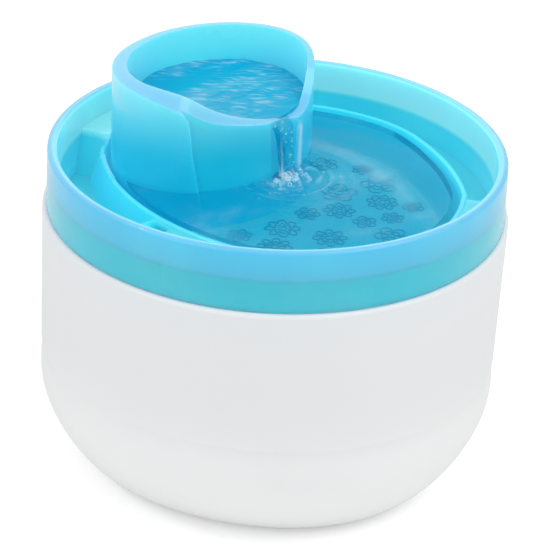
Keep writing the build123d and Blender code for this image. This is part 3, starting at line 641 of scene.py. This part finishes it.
class FOUNTAIN_OT_bowl_water(bpy.types.Operator):
    """Fill the bowl, with rings round the splash"""

    bl_idname = "fountain.bowl_water"
    bl_label = "Bowl water"

    slab_low, slab_high = (-0.070, -0.086), (0.086, 0.086)
    slab_bottom = BOWL_FLOOR + 0.0003
    cell = 0.0010
    ring_middle, ring_spread = 0.010, 0.014  # how far from the splash the rings are high, and fade
    swell_height = 0.00035
    swells_x, swells_y = 28, 45
    into_lip = 0.0003  # how far the water's edge runs into the lip
    into_drum = 0.0016  # and under the cup's drum
    wall_draft = 0.0090  # how much narrower the bowl is at its floor
    block_bottom = BOWL_FLOOR + 0.0001
    block_tops = (0.1500, 0.1510, 0.1505)  # of the cutting blocks, all above the water
    block_sides = (160, 160, 200)
    drum_bottom, drum_top, drum_sides = 0.109, 0.152, 160
    glint_arc = ((-0.0346, -0.0041), 0.0762, 0.0085)  # centre, radius, half width

    def execute(self, context):
        water = context.scene.fountain_water
        splash = (water.splash_x, water.splash_y)

        def height_at(x, y):
            """Rings that fade outwards from the splash, on a slow swell."""
            away = hypot(x - splash[0], y - splash[1])
            ring = cos(2 * pi * away / water.ring_length)
            ring *= exp(-((away - self.ring_middle) / self.ring_spread) ** 2)
            swell = noise.noise(Vector((x * self.swells_x, y * self.swells_y, 3.1))) * self.swell_height
            return water.ring_height * ring + swell

        slab = rippled_slab(Vector(self.slab_low), Vector(self.slab_high), self.slab_bottom,
                            water.bowl_level, height_at, self.cell)
        cutters = []
        for (x, y, radius), top, sides in zip(BOWL_ARCS, self.block_tops, self.block_sides):
            radius += self.into_lip
            block = oval_block(x, y, radius, radius, self.block_bottom, top, sides, self.wall_draft)
            cutters.append(("INTERSECT", block))
        x, y, half_width, half_depth = CUP_DRUM
        drum = oval_block(x, y, half_width - self.into_drum, half_depth - self.into_drum,
                          self.drum_bottom, self.drum_top, self.drum_sides)
        cutters.append(("DIFFERENCE", drum))
        finish = water_finish("bowl water", context.scene.fountain_colours, 0.36, 0.35, water.bowl_level,
                              splash, self.glint_arc)
        make_piece("bowl_water", carve(slab, cutters), finish, "tray")
        return {"FINISHED"}


class FOUNTAIN_OT_cup_water(bpy.types.Operator):
    """Fill the cup's basin with the water that wells up"""

    bl_idname = "fountain.cup_water"
    bl_label = "Cup water"

    slab_low, slab_high = (-0.044, 0.002), (0.054, 0.084)
    slab_bottom = 0.1456
    cell = 0.0008
    well = (0.004, 0.042, 0.0150, 0.0006)  # x, y, spread and height of the hump over the riser
    fall = (SPOUT_X, 0.006, 0.0070, -0.0011)  # the same for the dip before the spout
    chop_height = 0.00045
    chops_x, chops_y = 60, 260
    block_bottom, block_top, block_sides = 0.140, 0.170, 144
    wall_draft = 0.0006  # how much narrower the basin is lower down
    fall_depth = 0.0012  # how far the surface may dip and still be drawn

    def execute(self, context):
        water = context.scene.fountain_water

        def height_at(x, y):
            """A hump and a dip under fine chop."""
            height = noise.noise(Vector((x * self.chops_x, y * self.chops_y, 1.7))) * self.chop_height
            for a, b, wide, high in (self.well, self.fall):
                height += exp(-((x - a) ** 2 + (y - b) ** 2) / wide ** 2) * high
            return height

        slab = rippled_slab(Vector(self.slab_low), Vector(self.slab_high), self.slab_bottom,
                            water.cup_level, height_at, self.cell)
        basin = oval_block(*CUP_BASIN, self.block_bottom, self.block_top, self.block_sides, self.wall_draft)
        finish = water_finish("cup water", context.scene.fountain_colours, 0.34, 0.6,
                              water.cup_level - self.fall_depth, streaks=0.42)
        make_piece("cup_water", carve(slab, [("INTERSECT", basin)]), finish, "cup")
        return {"FINISHED"}


class FOUNTAIN_OT_stream(bpy.types.Operator):
    """Pour the water down the spout's groove, with bubbles where it meets the bowl"""

    bl_idname = "fountain.stream"
    bl_label = "Stream and splash"

    # Sections of the stream from the basin down to the bowl: y, z, half width, half depth
    stream = (
        (0.0110, 0.1588, 0.0030, 0.0003), (0.0085, 0.1597, 0.0050, 0.0007),
        (0.0060, 0.1599, 0.0066, 0.0009), (0.0040, 0.1589, 0.0062, 0.0010),
        (0.0026, 0.1572, 0.0058, 0.0011), (0.0018, 0.1545, 0.0054, 0.0011),
        (0.0013, 0.1510, 0.0050, 0.0011), (0.0009, 0.1470, 0.0047, 0.0011),
        (0.0004, 0.1430, 0.0045, 0.0012), (-0.0001, 0.1395, 0.0046, 0.0013),
        (-0.0008, 0.1365, 0.0052, 0.0017), (-0.0014, 0.1340, 0.0064, 0.0024),
    )
    # Sections of the film beside it: z, half width, half depth
    film = (
        (0.1585, 0.0012, 0.00025), (0.1560, 0.0026, 0.00045), (0.1500, 0.0034, 0.00060),
        (0.1440, 0.0036, 0.00065), (0.1380, 0.0034, 0.00070), (0.1345, 0.0034, 0.00080),
    )
    film_place = (0.0166, 0.0026)
    film_half = 0.0032
    film_turn = radians(15)
    splash_reach = 0.0085  # standard deviation of the bubbles' distance
    splash_shift = (-0.0015, 0.003)  # of the bubbles' middle from the stream's foot
    bubble_sizes = (0.00035, 0.0012)
    bead_sizes = (0.00022, 0.00052)

    def execute(self, context):
        water = context.scene.fountain_water
        colours = context.scene.fountain_colours
        bm = bmesh.new()
        swept(bm, [((SPOUT_X, y, z), half, depth) for y, z, half, depth in self.stream], 40)
        finish = water_finish("stream", colours, 0.08, 0.8, streaks=0.9, flow=(4.0, 4.0, 0.6))
        rounding = make_piece("spout_stream", bm, finish, "cup").modifiers.new("round", "SUBSURF")
        rounding.levels = rounding.render_levels = 1

        bm = bmesh.new()
        swept(bm, [((*self.film_place, z), half, depth) for z, half, depth in self.film], 24)
        bmesh.ops.rotate(bm, cent=(*self.film_place, 0), matrix=Matrix.Rotation(self.film_turn, 3, "Z"),
                         verts=bm.verts)
        make_piece("wet_film", bm, film_highlight_finish(colours, self.film_place[0], self.film_half), "cup")

        rng = random.Random(7)
        skin = bubble_finish(colours)
        bm = bmesh.new()
        for _ in range(water.bubbles):
            away = abs(rng.gauss(0, self.splash_reach))
            turn = rng.uniform(-pi, pi)
            radius = rng.uniform(*self.bubble_sizes) * (1.2 - min(away / 0.02, 0.8))
            x = water.splash_x + self.splash_shift[0] + away * cos(turn) * 1.1
            y = water.splash_y - abs(away * sin(turn)) * 1.25 + self.splash_shift[1]
            self.bubble(bm, radius, (x, y, water.bowl_level + radius * 0.25))
        make_piece("splash_bubbles", bm, skin, "tray")

        bm = bmesh.new()
        for y, z, half, depth in self.stream[3:-1]:
            for _ in range(3):
                radius = rng.uniform(*self.bead_sizes)
                x = SPOUT_X + rng.uniform(-0.8, 0.8) * half
                self.bubble(bm, radius, (x, y - depth * 0.8, z + rng.uniform(-0.0015, 0.0015)))
        make_piece("stream_beads", bm, skin, "cup")
        return {"FINISHED"}

    @staticmethod
    def bubble(bm, radius, place):
        """One small sphere."""
        bmesh.ops.create_icosphere(bm, subdivisions=2, radius=radius, matrix=Matrix.Translation(place))


class FOUNTAIN_OT_ornament(bpy.types.Operator):
    """Scatter plain raised flower outlines over the bowl's floor"""

    bl_idname = "fountain.ornament"
    bl_label = "Flower outlines"

    tries = 1400
    fewest = 12
    gap = 0.0008  # between two flowers
    wall_gap = 0.0095  # from the lip's arcs, because the bowl narrows towards its floor
    drum_gap = 0.0021  # from the cup's drum
    line_height = 0.00035
    outlines = ((1.0, 0.00060), (0.60, 0.00050), (0.24, 0.00045))  # share of the size, width of the line

    def execute(self, context):
        rng = random.Random(11)
        bm = bmesh.new()
        placed = []
        for _ in range(self.tries):
            size = rng.uniform(0.0052, 0.0092)
            x, y = rng.uniform(-0.06, 0.075), rng.uniform(-0.07, 0.07)
            if self.has_room(x, y, size, placed):
                placed.append((x, y, size))
                self.flower(bm, x, y, size, rng.choice((5, 6, 8)), rng.uniform(0, pi))
        if len(placed) < self.fewest:
            raise RuntimeError("the bowl's floor has no room for its flowers")
        finish = moulded("flower lines", context.scene.fountain_colours.outline, 0.5)
        make_piece("flower_outlines", bm, finish, "tray", smooth=False)
        return {"FINISHED"}

    def has_room(self, x, y, size, placed):
        """Whether a flower stands clear of the bowl's walls, of the cup and of the other flowers."""
        in_bowl = all(hypot(x - a, y - b) < radius - self.wall_gap - size for a, b, radius in BOWL_ARCS)
        a, b, half_width, half_depth = CUP_DRUM
        gap = self.drum_gap + size
        beside_cup = hypot((x - a) / (half_width + gap), (y - b) / (half_depth + gap)) > 1
        return in_bowl and beside_cup and all(hypot(x - a, y - b) > size + c + self.gap for a, b, c in placed)

    def flower(self, bm, x, y, size, petals, turn):
        """Petal outline, an inner ring of the same shape and a small eye, as flat raised lines."""
        centre = Vector((x, y, BOWL_FLOOR))
        for share, line in self.outlines:
            ring = bmesh.ops.create_circle(bm, cap_ends=True, segments=petals * 12, radius=size * share,
                                           matrix=Matrix.Translation(centre))["verts"]
            if share > 0.3:
                for v in ring:
                    angle = atan2(v.co.y - y, v.co.x - x) + turn
                    lobe = abs(cos(angle * petals / 2)) ** 0.6
                    v.co = centre + (v.co - centre) * (0.58 + 0.42 * lobe)
            disc = [f for f in bm.faces if set(f.verts) == set(ring)]
            bmesh.ops.inset_region(bm, faces=disc, thickness=line, use_boundary=True, use_even_offset=True)
            band = [f for f in {f for v in ring for f in v.link_faces} if f not in disc]
            bmesh.ops.delete(bm, geom=disc, context="FACES")
            grown = bmesh.ops.extrude_face_region(bm, geom=band)["geom"]
            top = [g for g in grown if isinstance(g, bmesh.types.BMVert)]
            bmesh.ops.translate(bm, vec=(0, 0, self.line_height), verts=top)


class FOUNTAIN_OT_stage(bpy.types.Operator):
    """Set up the floor, the soft lamps and the camera"""

    bl_idname = "fountain.stage"
    bl_label = "Stage"

    floor_half = 3.0
    lamp_target = (0, 0, 0.1)
    lamps = (  # name, place, size
        ("key", (0.25, -0.95, 1.25), 0.9),
        ("fill", (-1.1, -0.1, 0.8), 0.8),
        ("spark", (-0.75, 0.50, 0.95), 0.16),
    )
    camera_place = (-0.535398, -0.480253, 0.486640)
    camera_right = (0.682978, -0.729262, 0.041470)
    camera_up = (0.330392, 0.359059, 0.872885)

    def execute(self, context):
        stage = context.scene.fountain_stage
        bm = bmesh.new()
        bmesh.ops.create_grid(bm, x_segments=1, y_segments=1, size=self.floor_half)
        floor = mesh_object("floor", bm)
        floor.data.materials.append(floor_finish())

        powers = (stage.key_power, stage.fill_power, stage.spark_power)
        for (name, place, size), power in zip(self.lamps, powers):
            self.add_lamp(name, place, power, size)
        context.scene.world = surround_finish(stage.world_level)

        camera = add_object("camera", bpy.data.cameras.new("camera"))
        camera.data.lens = stage.lens
        camera.data.sensor_width = 36.0
        camera.data.clip_start = 0.01
        right, up = Vector(self.camera_right), Vector(self.camera_up)
        turn = Matrix((right, up, right.cross(up))).transposed().to_4x4()
        camera.matrix_world = Matrix.Translation(self.camera_place) @ turn
        context.scene.camera = camera
        context.scene.view_settings.view_transform = "Standard"
        return {"FINISHED"}

    def add_lamp(self, name, place, power, size):
        """Square lamp that faces the fountain."""
        lamp = bpy.data.lights.new(name, "AREA")
        lamp.energy = power
        lamp.size = size
        holder = add_object(name, lamp)
        holder.location = place
        ahead = Vector(self.lamp_target) - Vector(place)
        holder.rotation_euler = ahead.to_track_quat("-Z", "Y").to_euler()


class FOUNTAIN_PT_panel(bpy.types.Panel):
    """Lists the fountain's settings and steps"""

    bl_label = "Pet Water Fountain"
    bl_space_type = "VIEW_3D"
    bl_region_type = "UI"
    bl_category = "Fountain"

    def draw(self, context):
        for group_name in GROUPS:
            group = getattr(context.scene, group_name)
            for name in group.bl_rna.properties.keys():
                if name not in ("rna_type", "name"):
                    self.layout.prop(group, name)
        for step in STEPS:
            self.layout.operator(step.bl_idname)


# ---------------------------------------------------------------- registration
GROUPS = {
    "fountain_stage": FountainStage,
    "fountain_colours": FountainColours,
    "fountain_water": FountainWater,
}
STEPS = (
    FOUNTAIN_OT_finishes, FOUNTAIN_OT_soft_filters, FOUNTAIN_OT_bowl_water, FOUNTAIN_OT_cup_water,
    FOUNTAIN_OT_stream, FOUNTAIN_OT_ornament, FOUNTAIN_OT_stage,
)


def register():
    """Adds the settings, the steps and the panel."""
    for cls in (*GROUPS.values(), *STEPS, FOUNTAIN_PT_panel):
        bpy.utils.register_class(cls)
    for name, group in GROUPS.items():
        setattr(bpy.types.Scene, name, PointerProperty(type=group))


def unregister():
    """Takes them away again."""
    for name in GROUPS:
        delattr(bpy.types.Scene, name)
    for cls in (FOUNTAIN_PT_panel, *reversed(STEPS), *reversed(GROUPS.values())):
        bpy.utils.unregister_class(cls)


def main():
    """Runs every step in order."""
    register()
    bpy.ops.fountain.finishes()
    bpy.ops.fountain.soft_filters()
    bpy.ops.fountain.bowl_water()
    bpy.ops.fountain.cup_water()
    bpy.ops.fountain.stream()
    bpy.ops.fountain.ornament()
    bpy.ops.fountain.stage()


if __name__ == "__main__":
    main()
